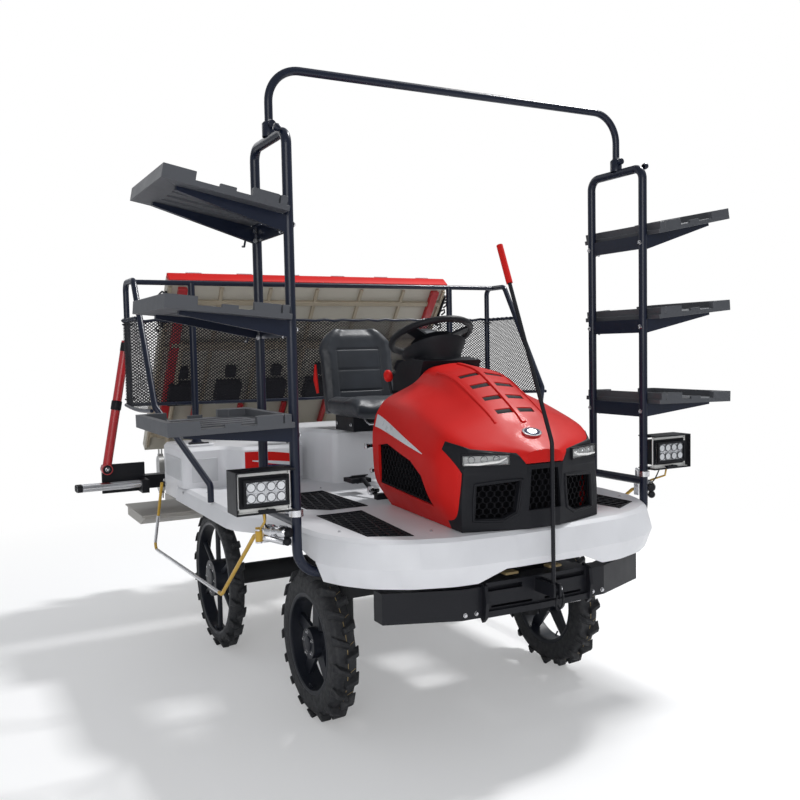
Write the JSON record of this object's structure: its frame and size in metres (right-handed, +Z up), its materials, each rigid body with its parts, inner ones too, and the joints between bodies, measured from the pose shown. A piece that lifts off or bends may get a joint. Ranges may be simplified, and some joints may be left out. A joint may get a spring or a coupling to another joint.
{
  "type": "riding rice transplanter",
  "caption": "Riding rice transplanter with front seedling racks, an arch bar, a red bonnet and a raised planting unit with a sliding seedling table behind.",
  "frame": {"origin": "on the ground below the middle of the machine's length and width", "axes": "+Z up, the front faces -Y, the driver's right is -X, wheel axles along X"},
  "size_m": [2.7016, 3.253, 2.671],
  "materials": {
    "black_steel": "satin black paint",
    "black_cast": "black painted casting",
    "engine_grey": "grey casting",
    "white_plastic": "glossy moulded white",
    "black_plastic": "moulded black",
    "red_plastic": "glossy moulded red",
    "lamp_lens": "clear lens",
    "black_mesh": "black honeycomb",
    "seat_vinyl": "black vinyl",
    "navy_tube": "dark navy paint",
    "grey_plastic": "grey moulded plastic",
    "net_fabric": "black net",
    "chrome_steel": "bright plated steel",
    "tyre": "black rubber",
    "wheel_black": "black paint",
    "yellow_rod": "yellow and silver paint",
    "beige_paint": "beige paint",
    "case_aluminium": "cast aluminium",
    "float_grey": "grey moulded plastic",
    "table_white": "off-white moulded plastic",
    "red_paint": "red paint"
  },
  "bodies": {
    "chassis": {"chassis_frame": "black_steel", "front_axle": "black_cast", "rear_axle": "black_cast", "engine": "engine_grey", "front_bumper": "black_steel", "deck": "white_plastic", "deck_grates": "black_plastic", "rear_body": "white_plastic", "body_handles": "black_plastic", "bonnet_shell": "red_plastic", "bonnet_mask": "black_plastic", "mask_grilles": "black_mesh", "headlamps": "lamp_lens", "bonnet_side_panels": "black_mesh", "dashboard": "black_plastic", "controls": "black_plastic", "seat_cushion": "seat_vinyl", "seat_back": "seat_vinyl", "seat_base": "black_steel", "rack_right": "navy_tube", "rack_left": "navy_tube", "arch_bar": "navy_tube", "shelves_right": "grey_plastic", "shelves_left": "grey_plastic", "lamp_housings": "black_steel", "lamp_lenses": "lamp_lens", "guard_rail": "navy_tube", "guard_net": "net_fabric", "marker_clamps": "chrome_steel"},
    "knuckle_right": {"knuckle_right": "black_cast"},
    "knuckle_left": {"knuckle_left": "black_cast"},
    "front_wheel_right": {"front_tyre_right": "tyre", "front_rim_right": "wheel_black"},
    "front_wheel_left": {"front_tyre_left": "tyre", "front_rim_left": "wheel_black"},
    "rear_wheel_right": {"rear_tyre_right": "tyre", "rear_rim_right": "wheel_black"},
    "rear_wheel_left": {"rear_tyre_left": "tyre", "rear_rim_left": "wheel_black"},
    "steering_wheel": {"steering_wheel": "black_plastic"},
    "centre_pole": {"centre_pole": "black_steel", "pole_grip": "red_plastic"},
    "side_marker_right": {"side_marker_right": "yellow_rod"},
    "side_marker_left": {"side_marker_left": "yellow_rod"},
    "lower_links": {"lower_links": "black_steel"},
    "upper_link": {"upper_link": "black_steel"},
    "planting_unit": {"planter_beam": "black_steel", "table_carrier": "beige_paint", "drive_cases": "case_aluminium", "floats": "float_grey", "guard_tubes": "chrome_steel"},
    "seedling_table": {"table_panel": "table_white", "table_top_edge": "red_plastic"},
    "planting_rotors": {"planting_rotors": "case_aluminium"},
    "line_marker_right": {"line_marker_right": "red_paint"},
    "line_marker_left": {"line_marker_left": "red_paint"},
    "lift_barrel": {"lift_barrel": "black_steel"},
    "lift_rod": {"lift_rod": "chrome_steel"}
  },
  "joints": [
    {"name": "steer_right", "type": "hinge", "parent": "chassis", "child": "knuckle_right", "pos_m": [-0.5, -0.7735, 0.325], "axis": [0, 0, 1], "range_deg": [-38, 38]},
    {"name": "front_wheel_right_spin", "type": "hinge", "parent": "knuckle_right", "child": "front_wheel_right", "pos_m": [-0.625, -0.7735, 0.325], "axis": [1, 0, 0], "continuous": true},
    {"name": "rear_wheel_right_spin", "type": "hinge", "parent": "chassis", "child": "rear_wheel_right", "pos_m": [-0.72, 0.3565, 0.37], "axis": [1, 0, 0], "continuous": true},
    {"name": "steer_left", "type": "hinge", "parent": "chassis", "child": "knuckle_left", "pos_m": [0.5, -0.7735, 0.325], "axis": [0, 0, 1], "range_deg": [-38, 38]},
    {"name": "front_wheel_left_spin", "type": "hinge", "parent": "knuckle_left", "child": "front_wheel_left", "pos_m": [0.625, -0.7735, 0.325], "axis": [1, 0, 0], "continuous": true},
    {"name": "rear_wheel_left_spin", "type": "hinge", "parent": "chassis", "child": "rear_wheel_left", "pos_m": [0.72, 0.3565, 0.37], "axis": [1, 0, 0], "continuous": true},
    {"name": "steering_wheel_turn", "type": "hinge", "parent": "chassis", "child": "steering_wheel", "pos_m": [0, -0.7135, 1.63], "axis": [0, 0.4067, 0.9135], "range_deg": [-380, 380]},
    {"name": "centre_pole_fold", "type": "hinge", "parent": "chassis", "child": "centre_pole", "pos_m": [0, -1.6015, 0.655], "axis": [1, 0, 0], "range_deg": [0, 80]},
    {"name": "side_marker_right_swing", "type": "hinge", "parent": "chassis", "child": "side_marker_right", "pos_m": [-0.968, -1.0435, 0.875], "axis": [0, 0, 1], "range_deg": [0, 90]},
    {"name": "side_marker_left_swing", "type": "hinge", "parent": "chassis", "child": "side_marker_left", "pos_m": [0.968, -1.0435, 0.875], "axis": [0, 0, -1], "range_deg": [0, 90]},
    {"name": "lift", "type": "hinge", "parent": "chassis", "child": "lower_links", "pos_m": [0, 0.3865, 0.52], "axis": [1, 0, 0], "range_deg": [-42, 0]},
    {"name": "upper_link_turn", "type": "hinge", "parent": "chassis", "child": "upper_link", "pos_m": [0, 0.3865, 0.78], "axis": [1, 0, 0], "range_deg": [-42, 0]},
    {"name": "planting_unit_level", "type": "hinge", "parent": "lower_links", "child": "planting_unit", "pos_m": [0, 1.1365, 0.765], "axis": [1, 0, 0], "range_deg": [0, 42]},
    {"name": "lift_barrel_turn", "type": "hinge", "parent": "chassis", "child": "lift_barrel", "pos_m": [0, 0.2265, 0.74], "axis": [1, 0, 0], "range_deg": [-13.22, 0]},
    {"name": "lift_rod_stroke", "type": "slide", "parent": "lift_barrel", "child": "lift_rod", "axis": [0, 0.8647, -0.5024], "range_m": [0, 0.0635]},
    {"name": "table_shift", "type": "slide", "parent": "planting_unit", "child": "seedling_table", "axis": [1, 0, 0], "range_m": [-0.12, 0.12]},
    {"name": "planting_rotors_spin", "type": "hinge", "parent": "planting_unit", "child": "planting_rotors", "pos_m": [0, 1.4965, 0.8], "axis": [1, 0, 0], "continuous": true},
    {"name": "line_marker_right_fold", "type": "hinge", "parent": "planting_unit", "child": "line_marker_right", "pos_m": [-1.18, 0.9465, 0.925], "axis": [0, -1, 0], "range_deg": [0, 95]},
    {"name": "line_marker_left_fold", "type": "hinge", "parent": "planting_unit", "child": "line_marker_left", "pos_m": [1.18, 0.9465, 0.925], "axis": [0, 1, 0], "range_deg": [0, 95]}
  ],
  "couplings": [
    {"joint": "steer_left", "follows": "steer_right", "ratio": 1},
    {"joint": "steering_wheel_turn", "follows": "steer_right", "ratio": 10},
    {"joint": "upper_link_turn", "follows": "lift", "ratio": 1},
    {"joint": "planting_unit_level", "follows": "lift", "ratio": -1},
    {"joint": "lift_barrel_turn", "follows": "lift", "ratio": 0.31166},
    {"joint": "lift_rod_stroke", "follows": "lift", "m_per_rad": -0.085742}
  ]
}
